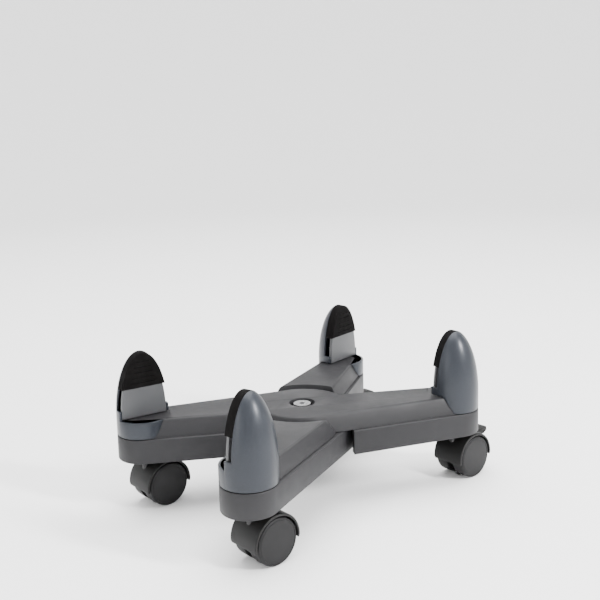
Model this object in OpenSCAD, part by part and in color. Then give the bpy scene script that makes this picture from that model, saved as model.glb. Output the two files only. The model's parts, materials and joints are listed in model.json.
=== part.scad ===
// Rolling holder for a computer tower: two crossed beams that scissor on one pivot,
// four padded corner posts that grip the case, and four twin-wheel casters.
// Millimetres. The origin is on the floor, at the middle of the whole footprint, and
// the pivot stands a little in front of it. +Z is up, and the computer's front faces -Y.

/* [Frame] */
// Distance from the pivot to the axis of each post
arm_len = 183; // [160:1:210]
// Angle of each beam from the X axis
beam_angle = 58; // [56:1:60]
// Radius of the round ends of the beams and of the posts
post_r = 30; // [28:1:32]
// Radius of the round hub of each beam
hub_r = 62; // [56:1:64]
// Height of the underside of the beams above the floor
beam_z = 60; // [60:1:70]
// Height of the lower band of each beam
lower_band_h = 28; // [24:1:32]
// Height of the upper band of each beam
upper_band_h = 20; // [18:1:24]
// How far the upper band stands back from the lower band at the posts
band_step = 6; // [5:1:7]
// How far the upper band stands back from the lower band at the hub
hub_step = 4; // [3:1:6]
// Wall thickness of the moulded beams
beam_wall = 3.5; // [3:0.5:4.5]

/* [Posts] */
// Height of the tip of each post above the floor
post_top_z = 183; // [170:1:200]
// Height at which the post starts to curve in
dome_z = 110; // [109:1:120]
// How far each post is turned on its beam
post_turn = 9; // [0:1:10]
// Height of the shell's foot under the computer
notch_z = 107.5; // [104:0.5:107.5]
// Height of the lower edge of the notch beside the computer
side_notch_z = 117.5; // [112:0.5:120]
// Height of the lower edge of the rubber grip
grip_z = 142; // [138:0.5:145]
// Wall thickness of the post shell
shell_wall = 2.8; // [2.4:0.2:3.2]
// Distance from the post axis out to the cut face of the shell
shell_cut = 5; // [4:0.5:6]
// Distance from the post axis in to the face of the grip
grip_face = 6.5; // [6:0.5:8]
// Step from the grip's edge in to its flat face
face_step = 1; // [0.6:0.1:1.4]
// Thickness of the jaw plate
jaw_t = 4; // [3:0.5:4.5]

/* [Casters] */
// Wheel diameter
wheel_d = 50; // [46:1:50]
// Distance from the swivel axis back to the axle
trail = 18; // [15:1:22]
// Width of the hood over the two wheels
caster_w = 41; // [39:1:44]
// Thickness of the web between the wheels
web_t = 8; // [7:0.5:9]
// Stem diameter
stem_d = 11; // [10:0.5:11]

/* [Hidden] */
$fn = 96;

// Corners: [side in X, side in Y], 1 for right or rear and -1 for left or front
FRONT_RIGHT = [1, -1];
FRONT_LEFT = [-1, -1];
REAR_RIGHT = [1, 1];
REAR_LEFT = [-1, 1];

shell_colour = [0.40, 0.45, 0.50];
beam_colour = [0.33, 0.33, 0.34];
rubber_colour = [0.07, 0.07, 0.07];
steel_colour = [0.72, 0.72, 0.74];
nylon_colour = [0.85, 0.84, 0.80];
wheel_colour = [0.22, 0.22, 0.23];

fit = 0.05;            // radial clearance of pins, stems and pressed parts
gap = 0.4;             // clearance between parts that pass each other
slide_gap = 0.1;       // clearance between flat faces that turn on each other
side_bite = 0.15;      // how far a beam's straight sides lie inside its round ends
pivot_y = -12;         // place of the pivot, which centres the footprint on the origin
band_z = beam_z + lower_band_h;
deck_z = band_z + upper_band_h;
turn_gap = 4;          // clearance around a hub for the other beam to turn
close_turn = 8;        // how far the upper beam turns to narrow the holder
open_turn = 14;        // how far it turns the other way to widen it
sweep_margin = 1.2;    // clearance left beyond those turns
low_cut = 50;          // where the upper beam's lower band stops short of the pivot
upper_end_r = post_r - band_step;   // round ends of the upper bands
upper_hub_r = hub_r - hub_step;     // round hub of the upper band

// Central pivot
bolt_d = 10;
bolt_head_d = 20;
bolt_head_h = 5;
hex_key_d = 7;         // across the corners of the bolt's hexagon socket
washer_d = 26;
washer_t = 1.5;
nut_h = 8;
nut_d = 19;
ring_r = 24;           // outer radius of the nylon slip ring
ring_t = 2.4;
pivot_boss_r = 30;
head_recess_r = 15;
rib_t = 2.5;           // ribs under the beams
seat_depth = 0.8;      // how far the deck is lowered under and around the posts

// Post details
boss_r = 4.5;
side_x = -4.5;         // how far in the shell's foot keeps its full height
base_boss_x = 18;      // place of the upright screw boss, outwards from the post axis
jaw_boss_z = 152;      // height of the level screw boss
screw_d = 4;
screw_head_d = 7.5;
screw_head_h = 2.4;
dome_steps = 20;
face_facets = 16;
grip_inset = 0.3;      // how far the grip's side stands inside the shell's

// Caster details
wheel_r = wheel_d / 2;
hood_in = wheel_r + 1.4;
hood_t = 2.6;
hood_out = hood_in + hood_t;
wheel_w = caster_w / 2 - web_t / 2 - gap;
axle_d = 6;
stem_len = 22;
socket_od = 15;
socket_boss_r = 12;
socket_flange_d = 20;
socket_flange_t = 1.6;
collar_d = 15;
swivel_boss_r = 10;
swivel_boss_z = 30;    // underside of the boss that holds the stem's foot
neck_d = 8;            // the stem between the beam and the caster body
neck_z = 44;           // foot of the neck, inside the caster body
foot_d = 5;            // the stem's foot, in the web between the wheels
foot_z = 32;
lever_pin = [trail + 20, 46];   // brake pin: distance behind the swivel axis, and height
lever_w = 12;
lever_pin_r = 1.5;
lug_w = 2.6;
lug_r = 3.2;

// ---------------------------------------------------------------- placing

module at_pivot() {
    translate([0, pivot_y, 0])
        children();
}

module on_beam(corner) {
    at_pivot()
        rotate(corner[0] * corner[1] * beam_angle)
            children();
}

// Puts something at a corner's post axis, with its +X outwards and turned with the post
module at_post(corner) {
    angle = corner[0] * corner[1] * beam_angle;
    place = arm_len * corner[0];
    at_pivot()
        translate([place * cos(angle), place * sin(angle), 0])
            mirror([corner[0] < 0 ? 1 : 0, 0, 0])
                rotate(-corner[1] * post_turn)
                    children();
}

// Puts something at a corner's swivel axis, trailing towards +Y
module at_caster(corner) {
    angle = corner[0] * corner[1] * beam_angle;
    place = arm_len * corner[0];
    at_pivot()
        translate([place * cos(angle), place * sin(angle), 0])
            children();
}

// ---------------------------------------------------------------- beams

// One arm seen from above, along +X, from a hub of radius h to an end of radius r. Its
// -Y side flares towards the hub and its +Y side is straight, so that the two beams can
// close towards each other. The sides cut a hair into the round ends.
module arm_plan(r, h) {
    tilt = asin((h - r) / arm_len);
    side_r = r - side_bite;
    side_h = h - side_bite;
    polygon([
        [0, side_r],
        [arm_len, side_r],
        [arm_len, 0],
        [arm_len + side_r * sin(tilt), -side_r * cos(tilt)],
        [side_h * sin(tilt), -side_h * cos(tilt)],
        [0, 0]
    ]);
    translate([arm_len, 0])
        circle(r);
}

// Both arms and the hub. flare is 1 where the right arm flares towards -Y, or -1
module beam_plan(r, h, flare) {
    mirror([0, flare > 0 ? 0 : 1]) {
        arm_plan(r, h);
        rotate(180)
            arm_plan(r, h);
    }
    circle(h);
}

// The arms alone, cut clear of the other beam's hub and of its arms at both limits
module arms_plan(r, h, flare) {
    crossing = 2 * beam_angle * flare;
    difference() {
        beam_plan(r, h, flare);
        circle(h + turn_gap);
        for (turn = [close_turn + sweep_margin, -open_turn - sweep_margin])
            rotate(-crossing - flare * turn)
                beam_plan(r + gap, h + gap, -flare);
    }
}

// Hollow under the arms, with cross ribs and a spine left standing. swept is true where
// the band is cut back for the other beam, so that its wall there stays whole
module arm_hollow(r, h, flare, top_z, start, swept) {
    crossing = 2 * beam_angle * flare;
    translate([0, 0, beam_z - 1])
        linear_extrude(top_z - beam_z + 1)
            difference() {
                beam_plan(r - beam_wall, h - beam_wall, flare);
                circle(start);
                if (swept)
                    for (turn = [close_turn + sweep_margin, -open_turn - sweep_margin])
                        rotate(-crossing - flare * turn)
                            beam_plan(r + gap + beam_wall, h + gap + beam_wall, -flare);
                for (end = [-1, 1])
                    translate([end * arm_len, 0])
                        circle(socket_boss_r);
                for (s = [-140, -105, 105, 140])
                    translate([s - rib_t / 2, -hub_r])
                        square([rib_t, 2 * hub_r]);
                translate([-arm_len - post_r, -rib_t / 2])
                    square([2 * (arm_len + post_r), rib_t]);
            }
}

// Ring-shaped hollow under a hub, between the pivot boss and a rim, with ribs
module hub_hollow(bottom_z, top_z, rim_r) {
    translate([0, 0, bottom_z - 1])
        linear_extrude(top_z - bottom_z + 1)
            difference() {
                circle(rim_r);
                circle(pivot_boss_r);
                for (turn = [0:45:135])
                    rotate(turn)
                        translate([-hub_r, -rib_t / 2])
                            square([2 * hub_r, rib_t]);
            }
}

// Bores at each end for the stem socket and its flange, and the low seat for the post
module end_bores() {
    for (end = [-1, 1])
        translate([end * arm_len, 0, beam_z - 1]) {
            cylinder(d = socket_od + 2 * fit, h = stem_len + 4);
            cylinder(d = socket_flange_d + 2 * fit, h = 1 + socket_flange_t);
            translate([0, 0, deck_z - seat_depth - beam_z + 1])
                cylinder(r = post_r + seat_depth, h = 2);
        }
}

// Stepped bore for the upright screw of a post, open below for the screwdriver
module screw_bores(corner) {
    at_post(corner)
        translate([base_boss_x, 0, beam_z - 1]) {
            cylinder(d = screw_d + 0.4, h = deck_z - beam_z + 2);
            cylinder(d = screw_head_d + 0.6, h = upper_band_h + lower_band_h - 4);
        }
}

// Beam under the front right and rear left posts. Its hub is in the lower band
module lower_beam() {
    color(beam_colour)
        difference() {
            on_beam(FRONT_RIGHT)
                difference() {
                    union() {
                        translate([0, 0, beam_z])
                            linear_extrude(lower_band_h)
                                beam_plan(post_r, hub_r, -1);
                        translate([0, 0, beam_z])
                            linear_extrude(deck_z - beam_z)
                                arms_plan(upper_end_r, upper_hub_r, -1);
                    }
                    arm_hollow(post_r, hub_r, -1, band_z - beam_wall, hub_r + 2, false);
                    arm_hollow(upper_end_r, upper_hub_r, -1, deck_z - beam_wall, hub_r + 10, true);
                    hub_hollow(beam_z, band_z - beam_wall, hub_r - beam_wall);
                    end_bores();
                }
            at_pivot() {
                translate([0, 0, beam_z - 1])
                    cylinder(d = bolt_d + 2 * fit, h = lower_band_h + 2);
                translate([0, 0, beam_z - 1])
                    cylinder(r = head_recess_r, h = 1 + nut_h + washer_t + 2);
                translate([0, 0, band_z - ring_t / 2])
                    cylinder(r = ring_r + fit, h = ring_t);
            }
            screw_bores(FRONT_RIGHT);
            screw_bores(REAR_LEFT);
        }
}

// Beam under the rear right and front left posts. Its hub is in the upper band
module upper_beam() {
    color(beam_colour)
        difference() {
            on_beam(REAR_RIGHT)
                difference() {
                    union() {
                        translate([0, 0, beam_z])
                            linear_extrude(lower_band_h)
                                difference() {
                                    arms_plan(post_r, hub_r, 1);
                                    translate([-low_cut, -2 * hub_r])
                                        square([2 * low_cut, 4 * hub_r]);
                                }
                        translate([0, 0, band_z + gap])
                            linear_extrude(upper_band_h - gap)
                                beam_plan(upper_end_r, upper_hub_r, 1);
                        translate([0, 0, beam_z])
                            linear_extrude(deck_z - beam_z)
                                difference() {
                                    arms_plan(upper_end_r, upper_hub_r, 1);
                                    circle(hub_r + turn_gap);
                                    translate([-low_cut, -2 * hub_r])
                                        square([2 * low_cut, 4 * hub_r]);
                                }
                    }
                    arm_hollow(post_r, hub_r, 1, band_z - beam_wall, hub_r + turn_gap + 10, true);
                    arm_hollow(upper_end_r, upper_hub_r, 1, deck_z - beam_wall, hub_r + turn_gap + 12, true);
                    hub_hollow(band_z, deck_z - beam_wall, upper_hub_r - beam_wall - 3);
                    end_bores();
                }
            at_pivot() {
                translate([0, 0, band_z - 1])
                    cylinder(d = bolt_d + 2 * fit, h = upper_band_h + 2);
                translate([0, 0, deck_z - bolt_head_h - washer_t - 1 - slide_gap])
                    cylinder(r = head_recess_r, h = upper_band_h);
                translate([0, 0, band_z])
                    cylinder(r = ring_r + fit, h = ring_t / 2 + slide_gap);
            }
            screw_bores(REAR_RIGHT);
            screw_bores(FRONT_LEFT);
        }
}

// ---------------------------------------------------------------- pivot

module slip_ring() {
    color(nylon_colour)
        at_pivot()
            translate([0, 0, band_z - ring_t / 2])
                difference() {
                    cylinder(r = ring_r - fit, h = ring_t);
                    translate([0, 0, -1])
                        cylinder(d = bolt_d + 4 * fit, h = ring_t + 2);
                }
}

module pivot_bolt() {
    head_z = deck_z - bolt_head_h - 1;
    foot_z = beam_z + 1;
    color(steel_colour)
        at_pivot()
            difference() {
                union() {
                    translate([0, 0, foot_z])
                        cylinder(d = bolt_d, h = head_z - foot_z);
                    translate([0, 0, head_z])
                        cylinder(d = bolt_head_d, h = bolt_head_h);
                }
                translate([0, 0, head_z + bolt_head_h - 3])
                    cylinder(d = hex_key_d, h = 4, $fn = 6);
            }
}

module flat_washer(z) {
    translate([0, 0, z])
        difference() {
            cylinder(d = washer_d, h = washer_t);
            translate([0, 0, -1])
                cylinder(d = bolt_d + 2 * fit, h = washer_t + 2);
        }
}

module pivot_washers() {
    color(steel_colour)
        at_pivot() {
            flat_washer(deck_z - bolt_head_h - 1 - washer_t);
            flat_washer(beam_z + nut_h + 2);
        }
}

module pivot_nut() {
    color(steel_colour)
        at_pivot()
            translate([0, 0, beam_z + 2])
                difference() {
                    cylinder(d = nut_d, h = nut_h, $fn = 6);
                    translate([0, 0, -1])
                        cylinder(d = bolt_d, h = nut_h + 2);
                }
}

// ---------------------------------------------------------------- posts

// Outline of the post from its axis outwards: straight up, then an elliptical dome
function dome(r, top) = [
    for (i = [0:dome_steps])
        let (t = 90 * i / dome_steps)
        [r * cos(t), dome_z + (top - dome_z) * sin(t)]
];

module bullet(inset, base_z) {
    rotate_extrude()
        polygon(concat([[0, base_z], [post_r - inset, base_z]],
            dome(post_r - inset, post_top_z - inset)));
}

// Slab between two distances from the post axis, above z
module slab(from_x, to_x, z) {
    translate([from_x, -2 * post_r, z])
        cube([to_x - from_x, 4 * post_r, post_top_z]);
}

// The arm's upper band, as a window through the foot of the shell
module arm_window(corner) {
    angle = corner[0] * corner[1] * beam_angle;
    flare = corner[0] * corner[1];
    translate([0, 0, band_z - 1])
        linear_extrude(upper_band_h + 1 + gap)
            rotate(corner[1] * post_turn)
                mirror([corner[0] < 0 ? 1 : 0, 0])
                    rotate(angle + (corner[0] < 0 ? 180 : 0))
                        translate([-arm_len, 0])
                            mirror([0, flare > 0 ? 0 : 1])
                                arm_plan(upper_end_r + gap, upper_hub_r + gap);
}

module post_shell(corner) {
    color(shell_colour)
        at_post(corner)
            difference() {
                union() {
                    difference() {
                        bullet(0, band_z + gap);
                        bullet(shell_wall, band_z - 1);
                        slab(-3 * post_r, side_x, notch_z);
                        slab(-3 * post_r, shell_cut, side_notch_z);
                    }
                    intersection() {
                        bullet(0.5, band_z + gap);
                        shell_bosses();
                    }
                }
                arm_window(corner);
                translate([base_boss_x, 0, band_z])
                    cylinder(d = screw_d - 0.6, h = 34);
                translate([-grip_face + 1, 0, jaw_boss_z])
                    rotate([0, 90, 0])
                        cylinder(d = screw_d - 0.6, h = 18);
            }
}

// Screw bosses and a cross rib, moulded inside the shell
module shell_bosses() {
    rib_t = 2;
    translate([base_boss_x, 0, deck_z + gap])
        cylinder(r = boss_r, h = 18);
    translate([base_boss_x, -rib_t / 2, deck_z + gap])
        cube([post_r, rib_t, 18]);
    translate([jaw_back_x(), 0, jaw_boss_z])
        rotate([0, 90, 0])
            cylinder(r = boss_r, h = post_r);
    translate([shell_cut, -rib_t / 2, grip_z + 2])
        cube([post_r, rib_t, 30]);
}

function jaw_back_x() = -grip_face + 1.5 + jaw_t;

// Flat plate that closes the post towards the computer and carries the grip
module jaw_solid(clear) {
    intersection() {
        bullet(3 - clear, band_z + gap);
        slab(-grip_face + 1.5 - clear, jaw_back_x() + clear, deck_z + 0.2 - clear);
    }
}

module jaw_plate(corner) {
    color(shell_colour)
        at_post(corner)
            difference() {
                jaw_solid(0);
                translate([-3 * post_r, 0, jaw_boss_z])
                    rotate([0, 90, 0])
                        cylinder(d = screw_d + 0.4, h = 6 * post_r);
                translate([-grip_face, 0, jaw_boss_z])
                    rotate([0, 90, 0])
                        cylinder(d = screw_head_d + 0.4, h = 1.5 + screw_head_h);
            }
}

// Arched outline of the grip's flat face, seen along the post's X axis
function face_outline() =
    let (half = sqrt(pow(post_r - grip_inset, 2) - pow(grip_face, 2)) - face_step)
    let (rise = (post_top_z - grip_inset - dome_z) * half / post_r)
    let (start = asin((grip_z + face_step - dome_z) / rise))
    [
        for (i = [0:face_facets])
            let (t = start + (180 - 2 * start) * i / face_facets)
            [half * cos(t), dome_z + rise * sin(t)]
    ];

// Rubber boot pulled over the jaw plate, between the shell and the computer
module rubber_grip(corner) {
    color(rubber_colour)
        at_post(corner)
            difference() {
                union() {
                    intersection() {
                        bullet(grip_inset, band_z);
                        slab(-grip_face + face_step, shell_cut - 0.1, grip_z);
                    }
                    translate([-grip_face, 0, 0])
                        rotate([90, 0, 90])
                            linear_extrude(2 * face_step)
                                polygon(face_outline());
                }
                jaw_solid(0.05);
                translate([-grip_face + 1.5, 0, jaw_boss_z])
                    rotate([0, 90, 0])
                        cylinder(r = boss_r + 0.2, h = post_r);
                translate([jaw_back_x() - 0.1, -15, grip_z - 1])
                    cube([post_r, 30, 8]);
            }
}

module screw(length) {
    cylinder(d = screw_head_d, h = screw_head_h);
    cylinder(d = screw_d - 0.7, h = length);
}

// The upright screw and the level screw of one post
module post_screws(corner) {
    at_post(corner) {
        translate([base_boss_x, 0, deck_z - 5 - screw_head_h])
            screw(20);
        translate([-grip_face + 1.5, 0, jaw_boss_z])
            rotate([0, 90, 0])
                screw(16);
    }
}

module post_screws_lower_beam() {
    color(steel_colour) {
        post_screws(FRONT_RIGHT);
        post_screws(REAR_LEFT);
    }
}

module post_screws_upper_beam() {
    color(steel_colour) {
        post_screws(REAR_RIGHT);
        post_screws(FRONT_LEFT);
    }
}

// ---------------------------------------------------------------- casters

// Nylon sleeve pressed into the end of the beam, with a flange below
module stem_socket(corner) {
    color(nylon_colour)
        at_caster(corner)
            difference() {
                union() {
                    translate([0, 0, beam_z])
                        cylinder(d = socket_flange_d, h = socket_flange_t);
                    translate([0, 0, beam_z])
                        cylinder(d = socket_od, h = stem_len + 2.5);
                }
                translate([0, 0, beam_z - 1])
                    cylinder(d = stem_d + 2 * fit, h = stem_len + 2);
            }
}

// Steel stem: a plain pin in the socket, a collar, a neck, and a foot in the caster body
module caster_stem(corner) {
    color(steel_colour)
        at_caster(corner) {
            translate([0, 0, beam_z - gap])
                cylinder(d = stem_d, h = stem_len + gap);
            translate([0, 0, beam_z - gap - 1])
                cylinder(d = collar_d, h = 1);
            translate([0, 0, neck_z])
                cylinder(d = neck_d, h = beam_z - neck_z);
            translate([0, 0, foot_z])
                cylinder(d = foot_d, h = beam_z - foot_z);
        }
}

// A level cylinder across the caster, centred on its middle
module across(r, width) {
    rotate([0, 90, 0])
        translate([0, 0, -width / 2])
            cylinder(r = r, h = width);
}

// Hood over both wheels, web between them, and the boss around the stem
module caster_body(corner) {
    braked = corner[1] > 0;
    color(wheel_colour)
        at_caster(corner)
            difference() {
                union() {
                    translate([0, trail, wheel_r])
                        difference() {
                            across(hood_out, caster_w);
                            across(hood_in, caster_w + 2);
                            translate([-caster_w, -2 * wheel_d, -2 * wheel_d + 4])
                                cube([2 * caster_w, 4 * wheel_d, 2 * wheel_d - 8]);
                        }
                    translate([0, trail, wheel_r])
                        intersection() {
                            across(hood_in + 0.5, web_t);
                            translate([-caster_w, -2 * wheel_d, -8])
                                cube([2 * caster_w, 4 * wheel_d, 2 * wheel_d]);
                        }
                    intersection() {
                        translate([0, 0, swivel_boss_z])
                            cylinder(r = swivel_boss_r, h = beam_z - swivel_boss_z);
                        translate([0, trail, wheel_r])
                            across(hood_out, caster_w);
                    }
                    if (braked)
                        lever_lugs();
                }
                translate([0, 0, neck_z])
                    cylinder(d = neck_d, h = beam_z);
                translate([0, 0, foot_z])
                    cylinder(d = foot_d, h = beam_z);
                translate([0, trail, wheel_r])
                    across(axle_d / 2 + fit, caster_w + 2);
                wheel_room();
                if (braked)
                    lever_room();
                if (braked)
                    translate([0, lever_pin[0], lever_pin[1]])
                        across(lever_pin_r + fit, caster_w);
            }
}

// Room for the two wheels beside the web, cut from the stem's boss
module wheel_room() {
    for (side = [-1, 1])
        translate([side * (web_t / 2 + caster_w / 2), trail, wheel_r])
            across(wheel_r + 1.2, caster_w);
}

// Two lugs on the hood that hold the brake lever's pin
module lever_lugs() {
    for (side = [-1, 1])
        translate([side * (lever_w / 2 + gap + lug_w / 2), lever_pin[0], lever_pin[1]])
            across(lug_r, lug_w);
}

// Slot through the hood and web for the brake lever
module lever_room() {
    translate([-lever_w / 2 - gap, lever_pin[0] - 6, lever_pin[1] - 10])
        cube([lever_w + 2 * gap, 40, 30]);
}

module axle(corner) {
    color(steel_colour)
        at_caster(corner)
            translate([0, trail, wheel_r])
                across(axle_d / 2, caster_w - 5);
}

// One wheel, with its tread, dished face and hub bore. side is 1 for the right one
module wheel(corner, side) {
    inner = web_t / 2 + gap;
    outer = inner + wheel_w;
    rim = wheel_r - 4;
    color(wheel_colour)
        at_caster(corner)
            translate([0, trail, wheel_r])
                rotate([0, 90 * side, 0])
                    rotate_extrude()
                        polygon([
                            [axle_d / 2 + fit, inner],
                            [wheel_r - 1, inner],
                            [wheel_r, inner + 1],
                            [wheel_r, outer - 2],
                            [wheel_r - 1.5, outer - 0.5],
                            [rim, outer - 0.5],
                            [rim - 0.6, outer - 2],
                            [rim - 1.8, outer - 2],
                            [rim - 2.4, outer - 0.4],
                            [6, outer],
                            [axle_d / 2 + 1, outer],
                            [axle_d / 2 + fit, outer - 1]
                        ]);
}

// Foot lever that rocks on its pin between the lugs, with a raised pedal behind
module brake_lever(corner) {
    pedal_w = 18;
    color(wheel_colour)
        at_caster(corner)
            translate([0, lever_pin[0], lever_pin[1]]) {
                across(lug_r - 0.4, lever_w);
                across(lever_pin_r, lever_w + 2 * gap + 2 * lug_w);
                translate([-lever_w / 2, 0, -lug_r + 0.4])
                    cube([lever_w, 10, 5.5]);
                translate([-pedal_w / 2, 5.5, 1])
                    cube([pedal_w, 10.5, 5]);
            }
}

lower_beam();
upper_beam();
slip_ring();
pivot_bolt();
pivot_washers();
pivot_nut();
post_shell(FRONT_RIGHT);  // post_shell_front_right
post_shell(REAR_LEFT);  // post_shell_rear_left
post_shell(FRONT_LEFT);  // post_shell_front_left
post_shell(REAR_RIGHT);  // post_shell_rear_right
jaw_plate(FRONT_RIGHT);  // jaw_plate_front_right
jaw_plate(REAR_LEFT);  // jaw_plate_rear_left
jaw_plate(FRONT_LEFT);  // jaw_plate_front_left
jaw_plate(REAR_RIGHT);  // jaw_plate_rear_right
rubber_grip(FRONT_RIGHT);  // rubber_grip_front_right
rubber_grip(REAR_LEFT);  // rubber_grip_rear_left
rubber_grip(FRONT_LEFT);  // rubber_grip_front_left
rubber_grip(REAR_RIGHT);  // rubber_grip_rear_right
post_screws_lower_beam();
post_screws_upper_beam();
stem_socket(FRONT_RIGHT);  // stem_socket_front_right
stem_socket(REAR_LEFT);  // stem_socket_rear_left
stem_socket(FRONT_LEFT);  // stem_socket_front_left
stem_socket(REAR_RIGHT);  // stem_socket_rear_right
caster_stem(FRONT_RIGHT);  // caster_stem_front_right
caster_stem(REAR_LEFT);  // caster_stem_rear_left
caster_stem(FRONT_LEFT);  // caster_stem_front_left
caster_stem(REAR_RIGHT);  // caster_stem_rear_right
caster_body(FRONT_RIGHT);  // caster_body_front_right
caster_body(REAR_LEFT);  // caster_body_rear_left
caster_body(FRONT_LEFT);  // caster_body_front_left
caster_body(REAR_RIGHT);  // caster_body_rear_right
axle(FRONT_RIGHT);  // axle_front_right
axle(REAR_LEFT);  // axle_rear_left
axle(FRONT_LEFT);  // axle_front_left
axle(REAR_RIGHT);  // axle_rear_right
wheel(FRONT_RIGHT, 1);  // right_wheel_front_right
wheel(REAR_LEFT, 1);  // right_wheel_rear_left
wheel(FRONT_LEFT, 1);  // right_wheel_front_left
wheel(REAR_RIGHT, 1);  // right_wheel_rear_right
wheel(FRONT_RIGHT, -1);  // left_wheel_front_right
wheel(REAR_LEFT, -1);  // left_wheel_rear_left
wheel(FRONT_LEFT, -1);  // left_wheel_front_left
wheel(REAR_RIGHT, -1);  // left_wheel_rear_right
brake_lever(REAR_LEFT);  // brake_lever_rear_left
brake_lever(REAR_RIGHT);  // brake_lever_rear_right
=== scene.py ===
"""Looks for a rolling computer tower holder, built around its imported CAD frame.

Metres, +Z up, and the held computer's front faces -Y. Each visible moulding is a mesh of its own that stands
for its CAD node. Metal parts and other hidden pieces stay as the CAD made them, with better materials.
"""

import json
import math

import bmesh
import bpy
from mathutils import Matrix, Vector


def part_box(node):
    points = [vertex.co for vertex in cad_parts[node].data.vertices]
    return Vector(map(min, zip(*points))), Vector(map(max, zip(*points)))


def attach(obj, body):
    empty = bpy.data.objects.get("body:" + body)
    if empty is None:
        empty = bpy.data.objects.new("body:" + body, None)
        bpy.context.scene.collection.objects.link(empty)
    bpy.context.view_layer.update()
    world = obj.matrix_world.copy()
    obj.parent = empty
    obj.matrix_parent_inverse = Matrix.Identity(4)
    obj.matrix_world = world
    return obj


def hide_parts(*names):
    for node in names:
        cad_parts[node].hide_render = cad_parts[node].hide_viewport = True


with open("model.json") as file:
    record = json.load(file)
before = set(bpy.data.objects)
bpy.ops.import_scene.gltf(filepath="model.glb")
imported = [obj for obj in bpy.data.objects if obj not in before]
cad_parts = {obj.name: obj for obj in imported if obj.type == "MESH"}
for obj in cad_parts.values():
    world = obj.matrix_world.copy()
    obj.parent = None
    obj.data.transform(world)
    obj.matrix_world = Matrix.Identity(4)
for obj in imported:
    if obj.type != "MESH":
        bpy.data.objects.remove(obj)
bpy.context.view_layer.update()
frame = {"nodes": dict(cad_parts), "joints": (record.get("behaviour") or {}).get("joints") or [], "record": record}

MM = 0.001

# ---------------------------------------------------------------- places and sizes, from the frame

JOINTS = {joint["name"]: joint for joint in frame["joints"]}
PIVOT = Vector(JOINTS["scissor_pivot"]["pos_m"])
TURN_LIMITS = [math.radians(angle) for angle in JOINTS["scissor_pivot"]["range_deg"]]
CORNERS = {"front_right": (1, -1), "rear_left": (-1, 1), "front_left": (-1, -1), "rear_right": (1, 1)}
BEAM_OF = {"front_right": "lower", "rear_left": "lower", "front_left": "upper", "rear_right": "upper"}
SWIVEL = {corner: Vector(JOINTS["swivel_" + corner]["pos_m"]) for corner in CORNERS}

arm = SWIVEL["rear_right"] - PIVOT
ARM = math.hypot(arm.x, arm.y)
BEAM_TURN = math.atan2(arm.y, arm.x)
UNDERSIDE_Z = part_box("lower_beam")[0].z
BAND_Z = PIVOT.z
DECK_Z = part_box("upper_beam")[1].z

shell_low, shell_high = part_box("post_shell_front_right")
grip_low, grip_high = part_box("rubber_grip_front_right")
POST_R = (shell_high.y - shell_low.y) / 2
POST_TOP = grip_high.z + 0.2 * MM
GRIP_Z = grip_low.z
SHELL_FOOT = shell_low.z

# sizes that the boxes don't give, as the part's source has them
DOME_Z = 110 * MM
NOTCH_Z = 107.5 * MM
SIDE_NOTCH_Z = 117.5 * MM
SIDE_X = -4.5 * MM
SHELL_WALL = 2.8 * MM
SHELL_CUT = 5 * MM
GRIP_FACE = -6.5 * MM
JAW_X = (-5 * MM, -1 * MM)
JAW_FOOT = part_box("jaw_plate_front_right")[0].z
POST_TURN = math.radians(9)

HUB_R = 62 * MM
HUB_RIM = 14 * MM
BEAM_WALL = 3.5 * MM
PASSING_GAP = 0.5 * MM
HUB_CLEARANCE = 4 * MM
SWEEP_MARGIN = math.radians(1.2)

# bores and seats in the beams
SOCKET_BORE_R = 7.55 * MM
FLANGE_H = 1.6 * MM
SCREW_FROM_AXIS = 18 * MM
SCREW_BORE_R = 4.05 * MM
POST_SEAT = 0.8 * MM
BOLT_BORE_R = 5.05 * MM
BOLT_RECESS_R = 15 * MM
WASHER_H = 1.5 * MM
HUB_BOSS_R = 30 * MM
SOCKET_BOSS_R = 12 * MM
RING_LOW, RING_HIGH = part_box("slip_ring")
RING_SEAT_R = (RING_HIGH.x - RING_LOW.x) / 2 + 0.05 * MM
WASHERS_LOW, WASHERS_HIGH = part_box("pivot_washers")

wheel_low, wheel_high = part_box("right_wheel_front_right")
WHEEL_R = (wheel_high.z - wheel_low.z) / 2
WHEEL_INNER = wheel_low.x - SWIVEL["front_right"].x
WHEEL_OUTER = wheel_high.x - SWIVEL["front_right"].x
TRAIL = (wheel_low.y + wheel_high.y) / 2 - SWIVEL["front_right"].y
AXLE_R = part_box("axle_front_right")[1].z - WHEEL_R
HOOD_IN = WHEEL_R + 1.4 * MM
HOOD_OUT = HOOD_IN + 2.6 * MM
LEVER_PIN = Vector(JOINTS["brake_rear_right"]["pos_m"]) - SWIVEL["rear_right"]
LEVER_PIN.z += SWIVEL["rear_right"].z

# ---------------------------------------------------------------- mesh tools


def add_object(name, bm):
    """Turns a bmesh into an object with clean, outward normals."""
    bmesh.ops.remove_doubles(bm, verts=bm.verts, dist=0.002 * MM)
    bmesh.ops.dissolve_degenerate(bm, edges=bm.edges, dist=0.001 * MM)
    bmesh.ops.recalc_face_normals(bm, faces=bm.faces)
    mesh = bpy.data.meshes.new(name)
    bm.to_mesh(mesh)
    bm.free()
    obj = bpy.data.objects.new(name, mesh)
    bpy.context.scene.collection.objects.link(obj)
    return obj


def skin(name, rings, looped=False):
    """A closed solid skinned over rings of points. Its ends are capped, or joined to each other if looped."""
    bm = bmesh.new()
    rows = [[bm.verts.new(point) for point in ring] for ring in rings]
    pairs = list(zip(rows, rows[1:]))
    if looped:
        pairs.append((rows[-1], rows[0]))
    else:
        bm.faces.new(rows[0])
        bm.faces.new(rows[-1])
    for lower, upper in pairs:
        for i in range(len(lower)):
            j = (i + 1) % len(lower)
            bm.faces.new((lower[i], lower[j], upper[j], upper[i]))
    return add_object(name, bm)


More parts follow.
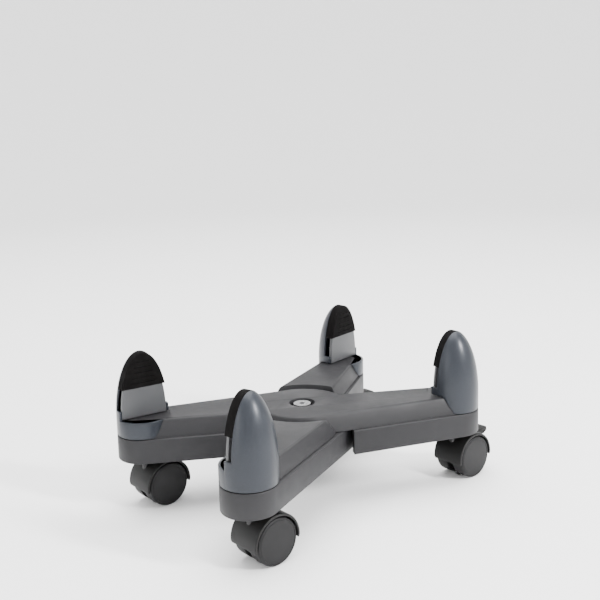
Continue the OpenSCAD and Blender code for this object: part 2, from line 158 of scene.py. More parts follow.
def arc(centre, radius, start, end, steps):
    """Points on an arc, from one angle to another."""
    return [
        (
            centre[0] + radius * math.cos(start + (end - start) * i / steps),
            centre[1] + radius * math.sin(start + (end - start) * i / steps),
        )
        for i in range(steps + 1)
    ]


def circle(centre, radius, steps=64):
    return arc(centre, radius, 0, 2 * math.pi * (1 - 1 / steps), steps - 1)


def revolve(name, profile, steps=96):
    """A solid turned around Z from a closed outline of (radius, height)."""
    rings = []
    for radius, z in profile:
        rings.append([(x, y, z) for x, y in circle((0, 0), radius, steps)])
    return skin(name, rings, looped=True)


def prism(name, outline, low, high):
    return skin(name, [[(x, y, z) for x, y in outline] for z in (low, high)])


def block(name, low, high):
    outline = [(low[0], low[1]), (high[0], low[1]), (high[0], high[1]), (low[0], high[1])]
    return prism(name, outline, low[2], high[2])


def rod(name, radius, start, end, steps=48):
    """A cylinder between two points."""
    start, end = Vector(start), Vector(end)
    turn = (end - start).to_track_quat("Z", "Y")
    rings = []
    for place in (start, end):
        rings.append([place + turn @ Vector((x, y, 0)) for x, y in circle((0, 0), radius, steps)])
    return skin(name, rings)


def move(obj, matrix):
    """Moves an object's mesh, and keeps its faces outward if the move mirrors it."""
    obj.data.transform(matrix)
    if matrix.determinant() < 0:
        obj.data.flip_normals()
    return obj


def settle(obj):
    """Applies an object's modifiers."""
    graph = bpy.context.evaluated_depsgraph_get()
    old = obj.data
    obj.data = bpy.data.meshes.new_from_object(obj.evaluated_get(graph), depsgraph=graph)
    obj.data.name = obj.name
    obj.modifiers.clear()
    bpy.data.meshes.remove(old)
    return obj


def combine(obj, others, operation):
    """Adds to, cuts or keeps part of an object with others, which it uses up."""
    for other in others:
        step = obj.modifiers.new(operation, "BOOLEAN")
        step.operation = operation
        step.solver = "EXACT"
        step.object = other
        settle(obj)
        mesh = other.data
        bpy.data.objects.remove(other)
        bpy.data.meshes.remove(mesh)
    return obj


def cut(obj, *others):
    return combine(obj, others, "DIFFERENCE")


def join(obj, *others):
    return combine(obj, others, "UNION")


def keep_inside(obj, *others):
    return combine(obj, others, "INTERSECT")


def tidy(obj, merge=0.12 * MM):
    """Joins points that a cut left too close together, dissolves the faces and edges that this squashes to
    nothing, and turns the faces outward.
    """
    bm = bmesh.new()
    bm.from_mesh(obj.data)
    bmesh.ops.remove_doubles(bm, verts=bm.verts, dist=merge)
    bmesh.ops.dissolve_degenerate(bm, edges=bm.edges, dist=0.02 * MM)
    bmesh.ops.recalc_face_normals(bm, faces=bm.faces)
    bm.to_mesh(obj.data)
    bm.free()
    return obj


def round_edges(obj, width, segments=3, angle=38):
    """Rounds an object's sharp edges and shades it smooth."""
    tidy(obj)
    step = obj.modifiers.new("rounding", "BEVEL")
    step.width = width
    step.segments = segments
    step.limit_method = "ANGLE"
    step.angle_limit = math.radians(angle)
    step.use_clamp_overlap = False
    step.miter_outer = "MITER_ARC"
    settle(obj)
    return smooth(obj)


def smooth(obj, angle=32):
    obj.data.shade_smooth()
    obj.data.set_sharp_from_angle(angle=math.radians(angle))
    return obj


# ---------------------------------------------------------------- materials


class Nodes:
    """Short calls for building a material's nodes."""

    def __init__(self, name):
        self.material = bpy.data.materials.new(name)
        self.material.use_nodes = True
        self.tree = self.material.node_tree
        self.shader = self.tree.nodes["Principled BSDF"]
        self.place = self.add("ShaderNodeTexCoord").outputs["Object"]

    def add(self, kind, **settings):
        node = self.tree.nodes.new(kind)
        for key, value in settings.items():
            if key in node.inputs:
                node.inputs[key].default_value = value
            else:
                setattr(node, key, value)
        return node

    def link(self, output, socket):
        self.tree.links.new(output, socket)

    def stretched(self, scale):
        """The object's coordinates, stretched differently along each axis."""
        mapping = self.add("ShaderNodeMapping")
        mapping.inputs["Scale"].default_value = scale
        self.link(self.place, mapping.inputs["Vector"])
        return mapping.outputs["Vector"]

    def noise(self, scale, detail=3.0, roughness=0.5, vector=None):
        node = self.add("ShaderNodeTexNoise", Scale=scale, Detail=detail, Roughness=roughness)
        self.link(vector or self.place, node.inputs["Vector"])
        return node.outputs["Fac"]

    def cells(self, scale, vector=None):
        node = self.add("ShaderNodeTexVoronoi", Scale=scale, feature="SMOOTH_F1")
        self.link(vector or self.place, node.inputs["Vector"])
        return node.outputs["Distance"]

    def spread(self, value, low, high, from_low=0.3, from_high=0.7):
        """Maps a texture's middle range to a range of numbers."""
        node = self.add("ShaderNodeMapRange")
        ranges = (("From Min", from_low), ("From Max", from_high), ("To Min", low), ("To Max", high))
        for key, number in ranges:
            node.inputs[key].default_value = number
        self.link(value, node.inputs["Value"])
        return node.outputs["Result"]

    def mix(self, factor, first, second):
        """A colour between two, which are colours or outputs."""
        node = self.add("ShaderNodeMix", data_type="RGBA")
        self.link(factor, node.inputs["Factor"])
        for colour, socket in ((first, node.inputs[6]), (second, node.inputs[7])):
            if isinstance(colour, bpy.types.NodeSocket):
                self.link(colour, socket)
            else:
                socket.default_value = (*colour, 1)
        return node.outputs[2]

    def bump(self, height, strength, distance, before=None):
        node = self.add("ShaderNodeBump", Strength=strength, Distance=distance)
        self.link(height, node.inputs["Height"])
        if before:
            self.link(before, node.inputs["Normal"])
        return node.outputs["Normal"]

    def finish(self, colour, roughness, normal):
        self.link(colour, self.shader.inputs["Base Color"])
        self.link(roughness, self.shader.inputs["Roughness"])
        self.link(normal, self.shader.inputs["Normal"])
        return self.material


def shade(colour, factor):
    return tuple(channel * factor for channel in colour)


def moulded_plastic(name, colour, rough, grain_size, grain_depth, variation=0.06, specular=0.5, scuffs=0.0):
    """Moulded plastic: a spark-eroded grain, faint flow marks, and dusty or rubbed patches."""
    n = Nodes(name)
    flow = n.spread(n.noise(16, 4), 0, 1)
    tone = n.mix(flow, shade(colour, 1 - variation), shade(colour, 1 + variation))
    speckle = n.spread(n.noise(1 / grain_size, 2), 0, 1)
    tone = n.mix(n.spread(speckle, 0, 0.35, 0, 1), tone, shade(colour, 1 - 1.6 * variation))
    worn = n.spread(n.noise(45, 6, 0.65), 0, scuffs, 0.52, 0.72)
    tone = n.mix(worn, tone, tuple(min(1, 1.5 * channel + 0.008) for channel in colour))
    gloss = n.spread(n.noise(28, 5, 0.6), rough - 0.05, rough + 0.06)
    grain = n.cells(1 / grain_size)
    normal = n.bump(grain, 0.5, grain_depth)
    normal = n.bump(n.noise(90, 2), 0.25, 0.05 * MM, normal)
    n.shader.inputs["Specular IOR Level"].default_value = specular
    return n.finish(tone, gloss, normal)


def shell_plastic():
    """Satin blue-grey plastic with a fine metallic fleck and a thin clear surface."""
    n = Nodes("shell_plastic")
    base = (0.016, 0.0185, 0.0235)
    flow = n.spread(n.noise(14, 4), 0, 1)
    tone = n.mix(flow, shade(base, 0.93), shade(base, 1.07))
    flecks = n.spread(n.noise(2600, 1), 0, 0.6, 0.5, 0.72)
    tone = n.mix(flecks, tone, shade(base, 2.2))
    gloss = n.spread(n.noise(30, 5, 0.6), 0.34, 0.42)
    normal = n.bump(n.cells(1900), 0.25, 0.02 * MM)
    normal = n.bump(n.noise(60, 2), 0.2, 0.06 * MM, normal)
    n.shader.inputs["Metallic"].default_value = 0.3
    n.shader.inputs["Specular IOR Level"].default_value = 0.28
    n.shader.inputs["Coat Weight"].default_value = 0.12
    n.shader.inputs["Coat Roughness"].default_value = 0.25
    return n.finish(tone, gloss, normal)


def rubber():
    """Matt black rubber, slightly dusty in its pores."""
    n = Nodes("grip_rubber")
    base = (0.0025, 0.0022, 0.0022)
    dust = n.spread(n.noise(70, 6, 0.6), 0, 0.5, 0.5, 0.75)
    tone = n.mix(dust, base, (0.006, 0.0055, 0.0055))
    gloss = n.spread(n.noise(120, 4), 0.7, 0.88)
    normal = n.bump(n.noise(2200, 3), 0.5, 0.04 * MM)
    n.shader.inputs["Specular IOR Level"].default_value = 0.06
    return n.finish(tone, gloss, normal)


def turned_steel(name, colour, tarnished):
    """Turned steel with fine marks around it and faint tarnish."""
    n = Nodes(name)
    tarnish = n.spread(n.noise(110, 5, 0.6), 0, 0.6, 0.45, 0.75)
    tone = n.mix(tarnish, colour, tarnished)
    marks = n.noise(400, 3, vector=n.stretched((1, 1, 9)))
    gloss = n.spread(marks, 0.22, 0.40)
    normal = n.bump(marks, 0.3, 0.02 * MM)
    n.shader.inputs["Metallic"].default_value = 1.0
    return n.finish(tone, gloss, normal)


MATERIALS = {
    "shell": shell_plastic(),
    "beam": moulded_plastic(
        "beam_plastic", (0.0135, 0.0132, 0.0146), 0.52, 0.7 * MM, 0.05 * MM, specular=0.26, scuffs=0.10
    ),
    "jaw": moulded_plastic("jaw_plastic", (0.045, 0.046, 0.049), 0.45, 0.6 * MM, 0.03 * MM),
    "grip": rubber(),
    "steel": turned_steel("zinc_steel", (0.34, 0.34, 0.35), (0.20, 0.197, 0.19)),
    "stem": turned_steel("stem_steel", (0.035, 0.035, 0.036), (0.02, 0.0195, 0.019)),
    "nylon": moulded_plastic("natural_nylon", (0.30, 0.29, 0.265), 0.42, 0.8 * MM, 0.02 * MM, 0.03),
    "caster": moulded_plastic(
        "caster_nylon", (0.0055, 0.0054, 0.0054), 0.46, 0.6 * MM, 0.03 * MM, specular=0.2, scuffs=0.12
    ),
    "wheel": moulded_plastic(
        "wheel_nylon", (0.0065, 0.0063, 0.0068), 0.5, 0.5 * MM, 0.06 * MM, specular=0.2, scuffs=0.15
    ),
}
SLOT_OF = {row["node"]: row["material_slot"] for row in frame["record"]["subparts"]}


def finish_piece(obj, body, slot, *nodes):
    """Gives a piece its material, the CAD nodes that it stands for, and the body that it rides on."""
    obj.data.materials.clear()
    obj.data.materials.append(MATERIALS[slot])
    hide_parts(*nodes)
    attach(obj, body)
    return obj


# ---------------------------------------------------------------- beams


def beam_outline(inset, flare):
    """A beam seen from above with its arms along X: round ends, and one straight and one flared side to each
    arm. flare is 1 where the right arm flares towards -Y, or -1."""
    end_r, hub_r = POST_R - inset, HUB_R - inset
    tilt = math.asin((hub_r - end_r) / ARM)
    half = arc((ARM, 0), end_r, tilt - math.pi / 2, math.pi / 2, 32)
    half += arc((0, 0), hub_r, math.asin(end_r / hub_r), math.pi / 2 + tilt, 20)
    return [(x, flare * y) for x, y in half + [(-x, -y) for x, y in half]]


def at_beam(turn):
    return Matrix.Translation((PIVOT.x, PIVOT.y, 0)) @ Matrix.Rotation(turn, 4, "Z")


def band(name, levels, flare, turn):
    """One band of a beam, skinned over its outline at each height and inset."""
    rings = [[(x, y, z) for x, y in beam_outline(inset, flare)] for z, inset in levels]
    return move(skin(name, rings), at_beam(turn))


def lower_levels(inset=0.0):
    """Heights and insets of the lower band, with rounded edges."""
    low, high = UNDERSIDE_Z, BAND_Z
    foot = ((low, 1.3), (low + 0.4 * MM, 0.5), (low + 1.2 * MM, 0))
    head = ((high - 0.9 * MM, 0), (high - 0.3 * MM, 0.25), (high, 0.9))
    return [(z, edge * MM + inset) for z, edge in (*foot, *head)]


def upper_levels(foot, inset=0.0, undercut=0.0):
    """Heights and insets of the upper band, whose sides slope in towards the deck."""
    shape = (
        (foot, 3.2 * MM + undercut),
        (BAND_Z + 0.7 * MM, 3.2 * MM + undercut),
        (BAND_Z + 1.0 * MM, 3.2 * MM),
        (DECK_Z - 3 * MM, 9.6 * MM),
        (DECK_Z - 1.2 * MM, 10.6 * MM),
        (DECK_Z - 0.4 * MM, 11.6 * MM),
        (DECK_Z, 13 * MM),
    )
    return [(z, edge + inset) for z, edge in shape]


def swept(levels, flare, turn, direction):
    """The other beam's band at both limits of the pivot, with room to pass."""
    return [
        band("swept", levels, flare, turn + direction * (limit + math.copysign(SWEEP_MARGIN, limit)))
        for limit in TURN_LIMITS
    ]


def hub_room(low, high):
    outline = circle((PIVOT.x, PIVOT.y), HUB_R + HUB_CLEARANCE, 128)
    return prism("hub_room", outline, low, high)


RIB = 2.5 * MM
RIB_PLACES = [side * place * MM for place in (140, 105) for side in (-1, 1)]


def ribs(turn, extra_arms):
    """Ribs under a beam: a spine along it and cross ribs under its arms."""
    high = DECK_Z + 1 * MM
    made = [block("spine", (-ARM - POST_R, -RIB / 2, 0), (ARM + POST_R, RIB / 2, high))]
    for place in RIB_PLACES:
        made.append(block("rib", (place - RIB / 2, -HUB_R, 0), (place + RIB / 2, HUB_R, high)))
    for angle in extra_arms:
        spoke = block("spoke", (-HUB_R, -RIB / 2, 0), (HUB_R, RIB / 2, high))
        made.append(move(spoke, Matrix.Rotation(angle, 4, "Z")))
    return [move(rib, at_beam(turn)) for rib in made]


def arm_pockets(turn, flare, levels, top, inner_r, other):
    """The hollows under both arms of a beam, between its ribs, clear of the sockets and of the other beam."""
    rings = [(UNDERSIDE_Z - 1 * MM, levels[0][1])] + levels
    hollow = band("pockets", [(z, edge + BEAM_WALL) for z, edge in rings], flare, turn)
    cut(hollow, block("roof", (-2 * ARM, -2 * ARM, top), (2 * ARM, 2 * ARM, 2 * DECK_Z)))
    cut(hollow, prism("hub", circle((PIVOT.x, PIVOT.y), inner_r, 96), 0, DECK_Z + 1 * MM))
    cut(hollow, *other)
    for end in (-1, 1):
        place = at_beam(turn) @ Vector((end * ARM, 0, 0))
        cut(hollow, prism("socket", circle((place.x, place.y), SOCKET_BOSS_R), 0, DECK_Z + 1 * MM))
    return cut(hollow, *ribs(turn, ()))


def hub_pockets(turn, low, top, rim_r):
    """The ring of hollows under a hub, around the pivot's boss."""
    centre = (PIVOT.x, PIVOT.y)
    hollow = prism("hub_pockets", circle(centre, rim_r, 96), low - 1 * MM, top)
    cut(hollow, prism("boss", circle(centre, HUB_BOSS_R, 72), 0, DECK_Z))
    spokes = [math.radians(angle) for angle in (45, 90, 135)]
    return cut(hollow, *ribs(turn, spokes))


def bore(name, radius, centre, low, high):
    return prism(name, circle((centre[0], centre[1]), radius), low, high)


def post_bores(beam):
    """Bores at both ends of a beam: the stem's socket and flange, and the post's upright screw."""
    made = []
    for corner in CORNERS:
        if BEAM_OF[corner] != beam:
            continue
        place = SWIVEL[corner]
        low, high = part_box("stem_socket_" + corner)
        flange_r = (high.x - low.x) / 2 + 0.05 * MM
        screw = at_post(corner) @ Vector((SCREW_FROM_AXIS, 0, 0))
        under = low.z - 1 * MM
        made.append(bore("socket", SOCKET_BORE_R, place, under, high.z + 0.1 * MM))
        made.append(bore("flange", flange_r, place, under, low.z + FLANGE_H))
        made.append(bore("screw_bore", SCREW_BORE_R, screw, under, DECK_Z - 5 * MM))
        made.append(bore("seat", POST_R + POST_SEAT, place, DECK_Z - POST_SEAT, DECK_Z + 1 * MM))
    return made


def lower_beam():
    """Beam under the front right and rear left posts: a full lower band, and an upper band on the arms."""
    turn, flare = -BEAM_TURN, -1
    beam = band("lower_beam_moulding", lower_levels(), flare, turn)
    arms = band("arms", upper_levels(BAND_Z - 1 * MM, undercut=1 * MM), flare, turn)
    low, high = BAND_Z - 0.02 * MM, DECK_Z + 2 * MM
    passing = upper_levels(BAND_Z - 2 * MM, -PASSING_GAP) + [(high, 13 * MM)]
    passing[0] = (low, passing[0][1])
    cut(arms, hub_room(low, high), *swept(passing, 1, BEAM_TURN, 1))
    join(beam, arms)
    cut(beam, hub_pockets(turn, UNDERSIDE_Z, BAND_Z - BEAM_WALL, HUB_R - BEAM_WALL))
    clear = swept([(0, -BEAM_WALL), (DECK_Z + 1 * MM, -BEAM_WALL)], 1, BEAM_TURN, 1)
    cut(beam, arm_pockets(turn, flare, [(BAND_Z, 0)], BAND_Z - BEAM_WALL, HUB_R + 2 * MM, []))
    cut(beam, arm_pockets(turn, flare, upper_levels(BAND_Z), DECK_Z - BEAM_WALL, HUB_R + 10 * MM, clear))
    cut(
        beam,
        bore("bolt", BOLT_BORE_R, PIVOT, UNDERSIDE_Z - 1 * MM, DECK_Z),
        bore("nut_recess", BOLT_RECESS_R, PIVOT, UNDERSIDE_Z - 1 * MM, WASHERS_LOW.z + WASHER_H),
        bore("ring_seat", RING_SEAT_R, PIVOT, RING_LOW.z, DECK_Z),
        *post_bores("lower"),
    )
    round_edges(beam, 0.45 * MM, 2)
    return finish_piece(beam, "lower_frame", "beam", "lower_beam")


def upper_beam():
    """Beam under the rear right and front left posts: a full upper band, and a lower band on the arms."""
    turn, flare = BEAM_TURN, 1
    beam = band("upper_beam_moulding", lower_levels(), flare, turn)
    deck = band("deck", upper_levels(BAND_Z - 1 * MM), flare, turn)
    join(beam, deck)
    floor, ceiling = UNDERSIDE_Z - 1 * MM, BAND_Z + 0.4 * MM
    passing = [(floor, -PASSING_GAP), (ceiling, -PASSING_GAP)]
    middle = block("middle", (-50 * MM, -2 * HUB_R, floor), (50 * MM, 2 * HUB_R, ceiling))
    cut(beam, hub_room(floor, ceiling), *swept(passing, -1, -BEAM_TURN, -1), move(middle, at_beam(turn)))
    cut(beam, hub_pockets(turn, BAND_Z, DECK_Z - BEAM_WALL, HUB_R - HUB_RIM - BEAM_WALL))
    clear = swept([(0, -BEAM_WALL), (DECK_Z + 1 * MM, -BEAM_WALL)], -1, -BEAM_TURN, -1)
    wide = arm_pockets(turn, flare, [(BAND_Z, 0)], BAND_Z - BEAM_WALL, HUB_R + HUB_RIM, clear)
    clear = swept([(0, -BEAM_WALL), (DECK_Z + 1 * MM, -BEAM_WALL)], -1, -BEAM_TURN, -1)
    narrow = arm_pockets(turn, flare, upper_levels(BAND_Z), DECK_Z - BEAM_WALL, HUB_R + 16 * MM, clear)
    cut(beam, wide, narrow)
    cut(
        beam,
        bore("bolt", BOLT_BORE_R, PIVOT, UNDERSIDE_Z, DECK_Z + 1 * MM),
        bore("head_recess", BOLT_RECESS_R, PIVOT, WASHERS_HIGH.z - WASHER_H, DECK_Z + 1 * MM),
        bore("ring_seat", RING_SEAT_R, PIVOT, UNDERSIDE_Z, RING_HIGH.z + 0.1 * MM),
        *post_bores("upper"),
    )
    round_edges(beam, 0.45 * MM, 2)
    return finish_piece(beam, "upper_frame", "beam", "upper_beam")


# ---------------------------------------------------------------- posts


def at_post(corner):
    """Puts something at a post's axis, with its +X outwards and turned with the post."""
    side, depth = CORNERS[corner]
    place = SWIVEL[corner]
    turned = Matrix.Diagonal((side, 1, 1, 1)) @ Matrix.Rotation(-depth * POST_TURN, 4, "Z")
    return Matrix.Translation((place.x, place.y, 0)) @ turned


def dome(inset, steps=36):
    """Outline of the dome of a post from its side up to its tip, as (radius, height)."""
    radius, rise = POST_R - inset, POST_TOP - inset - DOME_Z
    points = []
    for i in range(steps + 1):
        angle = math.pi / 2 * i / steps
        points.append((radius * math.cos(angle), DOME_Z + rise * math.sin(angle)))
    return points


def bullet(name, inset, base):
    """A solid post, from a base height up to its tip."""
    return revolve(name, [(0, base), (POST_R - inset, base)] + dome(inset), 120)


def arm_window(corner):
    """Room for the arm's upper band in the foot of a shell, in the corner's own place."""
    side, depth = CORNERS[corner]
    flare = side * depth
    turn = flare * BEAM_TURN + (math.pi if side < 0 else 0)
    rings = []
    levels = upper_levels(BAND_Z - 2 * MM, -0.6 * MM) + [(DECK_Z + 0.6 * MM, 12.4 * MM)]
    for z, inset in levels:
        end_r, hub_r = POST_R - inset, HUB_R - inset
        tilt = math.asin((hub_r - end_r) / ARM)
        near = ARM - 9 * MM
        slope = end_r + (hub_r - end_r) * (ARM - near) / ARM
        straight = flare * end_r
        flared = [-flare * edge / math.cos(tilt) for edge in (slope, hub_r)]
        rings.append([(0, straight, z), (near, straight, z), (near, flared[0], z), (0, flared[1], z)])
    return move(skin("window", rings), at_beam(turn))


def post_shell(corner):
    """Satin shell of a post: a bullet cut open towards the computer, with a full ring at its foot."""
    foot = SHELL_FOOT + 0.3 * MM
    outer = [(POST_R - 0.7 * MM, foot), (POST_R - 0.2 * MM, foot + 0.2 * MM), (POST_R, foot + 0.8 * MM)]
    inner = [(radius, z) for radius, z in reversed(dome(SHELL_WALL))] + [(POST_R - SHELL_WALL, foot)]
    shell = revolve("post_shell_moulding_" + corner, outer + dome(0) + inner, 120)
    reach = 2 * POST_R
    cut(
        shell,
        block("foot_opening", (-reach, -reach, NOTCH_Z), (SIDE_X, reach, POST_TOP + reach)),
        block("opening", (-reach, -reach, SIDE_NOTCH_Z), (SHELL_CUT, reach, POST_TOP + reach)),
    )
    move(shell, at_post(corner))
    cut(shell, arm_window(corner))
    round_edges(shell, 0.4 * MM, 2)
    return finish_piece(shell, BEAM_OF[corner] + "_frame", "shell", "post_shell_" + corner)


def grip_section(x, inset, foot):
    """Arch-shaped section of a grip across the post, at a distance from its axis."""
    radius, rise = POST_R - 0.3 * MM - inset, POST_TOP - inset - DOME_Z
    half = math.sqrt(radius * radius - x * x)
    height = rise * half / radius
    start = math.asin((foot - DOME_Z) / height)
    points = arc((0, 0), 1, start, math.pi - start, 72)
    return [(x, half * u, DOME_Z + height * v) for u, v in points]


def rubber_grip(corner):
    """Rubber boot between a shell and the computer, with soft edges and shallow level grooves in its face."""
    face, back = GRIP_FACE, SHELL_CUT - 0.15 * MM
    soft = 1.3 * MM
    edge = 1.1 * MM + soft * 0.25
    rings = [grip_section(face, edge, GRIP_Z + edge)]
    for i in range(1, 6):
        angle = math.pi / 2 * i / 5
        inset = soft * (1 - math.sin(angle))
        rings.append(grip_section(face + soft * (1 - math.cos(angle)), inset, GRIP_Z + inset))
    rings.append(grip_section(back - 0.4 * MM, 0, GRIP_Z))
    rings.append(grip_section(back, 0.3 * MM, GRIP_Z + 0.3 * MM))
    grip = skin("rubber_grip_boot_" + corner, rings)
    for i in range(5):
        z = GRIP_Z + (6 + 6 * i) * MM
        width = 15 * MM - 1.6 * i * MM
        groove = rod("groove", 0.7 * MM, (face, -width, z), (face, width, z), 16)
        cut(grip, groove)
    smooth(tidy(grip, 0.02 * MM))
    move(grip, at_post(corner))
    return finish_piece(grip, BEAM_OF[corner] + "_frame", "grip", "rubber_grip_" + corner)


def jaw_plate(corner):
    """Plate behind the grip, which shows in the notch under it."""
    plate = bullet("jaw_plate_moulding_" + corner, 3 * MM, BAND_Z)
    reach = 2 * POST_R
    keep_inside(plate, block("slab", (JAW_X[0], -reach, JAW_FOOT), (JAW_X[1], reach, POST_TOP)))
    move(plate, at_post(corner))
    round_edges(plate, 0.5 * MM, 2)
    return finish_piece(plate, BEAM_OF[corner] + "_frame", "jaw", "jaw_plate_" + corner)


# ---------------------------------------------------------------- casters


def rounded_box(half_width, low, high, outer_r, inner_r, steps=5):
    """Outline across a caster's hood: a flat bar with round corners, as (across, radius)."""
    corners = (
        (half_width - outer_r, high - outer_r, outer_r, 0),
        (-half_width + outer_r, high - outer_r, outer_r, math.pi / 2),
        (-half_width + inner_r, low + inner_r, inner_r, math.pi),
        (half_width - inner_r, low + inner_r, inner_r, 1.5 * math.pi),
    )
    points = []
    for x, r, radius, start in corners:
        points += arc((x, r), radius, start, start + math.pi / 2, steps)
    return points


def hood(name):
    """Hood over both wheels, from just below the axle at the back to just below it at the front."""
    half = WHEEL_OUTER
    first, last = math.radians(-7), math.radians(188)
    rings = []
    steps = 64
    ends = ((0, 0.55), (0.012, 0.25), (0.03, 0.0))
    places = [(share, inset) for share, inset in ends]
    places += [(0.03 + 0.94 * i / steps, 0.0) for i in range(1, steps)]
    places += [(1 - share, inset) for share, inset in reversed(ends)]
    for share, inset in places:
        angle = first + (last - first) * share
        shrink = inset * MM
        outline = rounded_box(half - shrink, HOOD_IN + shrink, HOOD_OUT - shrink, 1.2 * MM, 0.4 * MM)
        rings.append([
            (x, TRAIL + r * math.cos(angle), WHEEL_R + r * math.sin(angle))
            for x, r in outline
        ])
    return skin(name, rings)


def across(name, radius, width, centre, steps=64):
    """A level cylinder across a caster, given its middle behind the swivel axis and its height."""
    return rod(name, radius, (-width / 2, *centre), (width / 2, *centre), steps)


def caster_body(corner):
    """Hood, web between the wheels, and the boss for the stem's foot, as one moulding."""
    axle = (TRAIL, WHEEL_R)
    body = hood("caster_hood_" + corner)
    web_w = 2 * WHEEL_INNER - 0.8 * MM
    web = across("web", HOOD_IN + 0.6 * MM, web_w, axle, 96)
    cut(web, block("below", (-web_w, -WHEEL_R, 0), (web_w, 3 * WHEEL_R, WHEEL_R - 3 * MM)))
    join(web, across("axle_boss", 8 * MM, web_w, axle))
    boss = bore("boss", 10 * MM, (0, 0), 30 * MM, UNDERSIDE_Z)
    keep_inside(boss, across("drum", HOOD_OUT - 0.15 * MM, 2 * WHEEL_OUTER - 2 * MM, axle, 96))
    for side in (-1, 1):
        middle = side * (WHEEL_INNER + WHEEL_OUTER)
        room = rod("room", WHEEL_R + 1.2 * MM, (side * web_w / 2, *axle), (middle, *axle), 96)
        cut(boss, room)
    join(body, web, boss)
    cut(body, across("axle_bore", AXLE_R + 0.05 * MM, 4 * WHEEL_OUTER, axle))
    cut(body, bore("neck_bore", 4.0 * MM, (0, 0), 44 * MM, UNDERSIDE_Z))
    cut(body, bore("foot_bore", 2.5 * MM, (0, 0), 31.9 * MM, UNDERSIDE_Z))
    if CORNERS[corner][1] > 0:
        pin = (LEVER_PIN.y, LEVER_PIN.z)
        lever_w, lug_w = 12 * MM, 2.6 * MM
        for side in (-1, 1):
            start = side * (lever_w / 2 + 0.4 * MM)
            join(body, rod("lug", 3.2 * MM, (start, *pin), (start + side * lug_w, *pin)))
        half = lever_w / 2 + 0.4 * MM
        near, far = (pin[0] - 6 * MM, pin[1] - 10 * MM), (pin[0] + 34 * MM, pin[1] + 20 * MM)
        cut(body, block("slot", (-half, *near), (half, *far)))
        cut(body, across("pin_bore", 1.55 * MM, 4 * WHEEL_OUTER, pin, 32))
    tidy(body, 0.03 * MM)
    smooth(body, 34)
    place = SWIVEL[corner]
    move(body, Matrix.Translation((place.x, place.y, 0)))
    return finish_piece(body, "caster_" + corner, "caster", "caster_body_" + corner)


def wheel(corner, side):
    """Moulded wheel: crowned tread, rounded shoulders, a groove inside the rim and a slightly domed face."""
    name = ("right" if side > 0 else "left") + "_wheel_" + corner
    r, inner, outer = WHEEL_R, WHEEL_INNER, WHEEL_OUTER
    profile = [(AXLE_R + 0.05 * MM, inner), (r - 3.5 * MM, inner)]
    profile += [(r - 3.5 * MM, inner + 1.2 * MM), (r - 2.2 * MM, inner + 1.2 * MM), (r - 2.2 * MM, inner)]
    profile += [(r - 1 * MM, inner)]
    profile += [(x, y) for x, y in arc((r - 1 * MM, inner + 0.9 * MM), 0.9 * MM, -math.pi / 2, -0.12, 5)]
    profile += [(r, (inner + outer) / 2 - 3 * MM), (r, (inner + outer) / 2)]
    profile += [(x, y) for x, y in arc((r - 2.4 * MM, outer - 2.6 * MM), 2.3 * MM, 0.1, math.pi / 2, 8)]
    rim, groove = r - 2.6 * MM, 0.35 * MM
    profile += [(rim, outer - 0.3 * MM), (rim - 0.1 * MM, outer - 0.3 * MM - groove)]
    profile += [(rim - 0.5 * MM, outer - 0.3 * MM - groove)]
    face = rim - 0.6 * MM
    for i in range(9):
        share = i / 8
        profile.append((face * (1 - share) + 0.5 * MM * share, outer - 0.3 * MM * (1 - share) ** 2))
    profile += [(0, outer), (0, outer - 3 * MM), (AXLE_R + 0.05 * MM, outer - 3 * MM)]
    made = revolve(name + "_moulding", profile, 96)
    turn = Matrix.Rotation(side * math.pi / 2, 4, "Y")
    place = SWIVEL[corner]
    move(made, Matrix.Translation((place.x, place.y + TRAIL, WHEEL_R)) @ turn)
    smooth(made, 40)
    return finish_piece(made, name, "wheel", name)


def brake_lever(corner):
    """Foot lever: a barrel on its pin, a short neck, and a ribbed pedal with rounded edges."""
    pin = (LEVER_PIN.y, LEVER_PIN.z)
    lever = across("brake_pedal_" + corner, 2.8 * MM, 12 * MM, pin, 48)
    y, z = pin
    under = [(-0.5, -2.6), (9.8, -2.2), (15.6, 0.9), (16, 2.0)]
    over = [(15.4, 5.4), (14.4, 6.0), (7, 5.0), (3, 2.8), (-0.5, 2.6)]
    rings = []
    for share, x in ((0, -9), (1, -8.6), (1, 8.6), (0, 9)):
        shrink = 0.92 if share == 0 else 1
        ring = []
        for dy, dz in under + over:
            width = 6 / 9 if dy < 5 else 1
            ring.append((x * width * MM, y + (8 + (dy - 8) * shrink) * MM, z + (2 + (dz - 2) * shrink) * MM))
        rings.append(ring)
    join(lever, skin("pedal", rings))
    for i in range(3):
        place = (y + (9.2 + 2.1 * i) * MM, z + (5.75 + 0.3 * i) * MM)
        cut(lever, across("groove", 0.45 * MM, 14 * MM, place, 12))
    join(lever, across("pin", 1.5 * MM, 18 * MM, pin, 32))
    round_edges(lever, 0.35 * MM, 2)
    place = SWIVEL[corner]
    move(lever, Matrix.Translation((place.x, place.y, 0)))
    return finish_piece(lever, "brake_" + corner, "caster", "brake_lever_" + corner)


# ---------------------------------------------------------------- the object

lower_beam()
upper_beam()
for corner in CORNERS:
    post_shell(corner)
    rubber_grip(corner)
    jaw_plate(corner)
    caster_body(corner)
    wheel(corner, 1)
    wheel(corner, -1)
for corner in ("rear_left", "rear_right"):
    brake_lever(corner)

for name, node in frame["nodes"].items():
    node.data.materials.clear()
    node.data.materials.append(MATERIALS["stem" if name.startswith("caster_stem") else SLOT_OF[name]])
    smooth(node, 30)

# ---------------------------------------------------------------- floor, light and camera


def plain(name, colour, rough):
    """A plain studio surface with a faint mottle."""
    n = Nodes(name)
    tone = n.mix(n.spread(n.noise(3, 2), 0, 1), shade(colour, 0.99), colour)
    gloss = n.spread(n.noise(5, 2), rough - 0.03, rough)
    return n.finish(tone, gloss, n.bump(n.noise(400, 2), 0.05, 0.05 * MM))


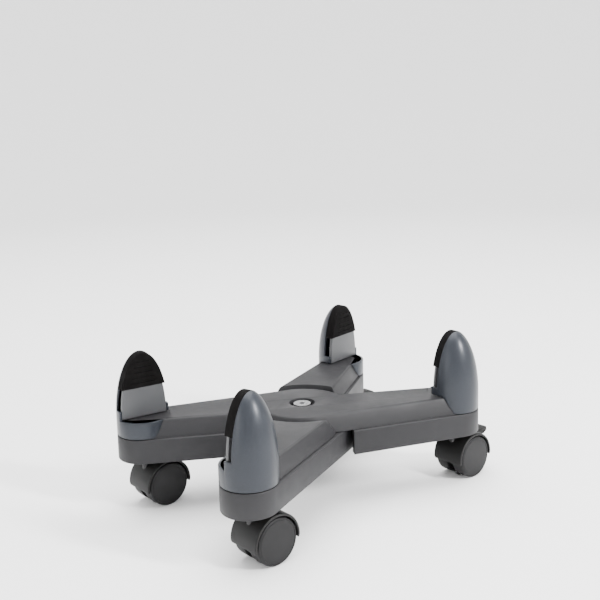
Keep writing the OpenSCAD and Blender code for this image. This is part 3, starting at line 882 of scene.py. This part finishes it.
def sweep():
    """Pale floor that curves up into a backdrop all around."""
    flat, bend, wall = 2.6, 1.6, 1.4
    outline = [(0.02, 0), (flat, 0)]
    outline += arc((flat, bend), bend, -math.pi / 2, 0, 16)[1:] + [(flat + bend, bend + wall)]
    bm = bmesh.new()
    rows = [[bm.verts.new((x, y, z)) for x, y in circle((0, 0), radius, 96)] for radius, z in outline]
    bm.faces.new(rows[0])
    for lower, upper in zip(rows, rows[1:]):
        for i in range(len(lower)):
            j = (i + 1) % len(lower)
            bm.faces.new((lower[j], lower[i], upper[i], upper[j]))
    floor = add_object("studio_floor", bm)
    floor.data.materials.append(plain("studio_white", (0.9, 0.9, 0.9), 0.7))
    smooth(floor)


def area_light(name, place, target, size, power, size_y=None):
    data = bpy.data.lights.new(name, "AREA")
    data.shape = "RECTANGLE"
    data.size = size
    data.size_y = size_y or size
    data.energy = power
    light = bpy.data.objects.new(name, data)
    light.location = place
    light.rotation_mode = "QUATERNION"
    light.rotation_quaternion = (Vector(target) - Vector(place)).to_track_quat("-Z", "Y")
    bpy.context.scene.collection.objects.link(light)


def studio():
    world = bpy.data.worlds.new("studio")
    bpy.context.scene.world = world
    world.use_nodes = True
    background = world.node_tree.nodes["Background"]
    background.inputs["Color"].default_value = (1, 1, 1, 1)
    background.inputs["Strength"].default_value = 1.6
    target = (0, 0, 0.08)
    area_light("key", (1.75, 0.55, 1.3), target, 0.22, 75, 0.5)
    area_light("side", (0.4, -2.2, 0.8), target, 0.3, 10, 1.2)
    area_light("top", (-0.2, 0.2, 2.4), target, 2.6, 150)


def camera():
    """The photograph's camera: right of the front, a little above the object."""
    data = bpy.data.cameras.new("camera")
    data.sensor_width = 36.0
    data.lens = 56.088
    data.shift_y = -0.1
    data.clip_start = 0.01
    cam = bpy.data.objects.new("camera", data)
    bpy.context.scene.collection.objects.link(cam)
    yaw, pitch, roll = math.radians(49.05), math.radians(9.1), math.radians(-1.46)
    forward = Vector((-math.sin(yaw) * math.cos(pitch), math.cos(yaw) * math.cos(pitch), -math.sin(pitch)))
    level = Vector((math.cos(yaw), math.sin(yaw), 0))
    upright = level.cross(forward)
    right = math.cos(roll) * level + math.sin(roll) * upright
    up = -math.sin(roll) * level + math.cos(roll) * upright
    cam.matrix_world = Matrix.Translation(Vector((792.2, -696.2, 467.2)) * MM) @ Matrix(
        (right, up, -forward)
    ).transposed().to_4x4()
    bpy.context.scene.camera = cam


sweep()
studio()
camera()
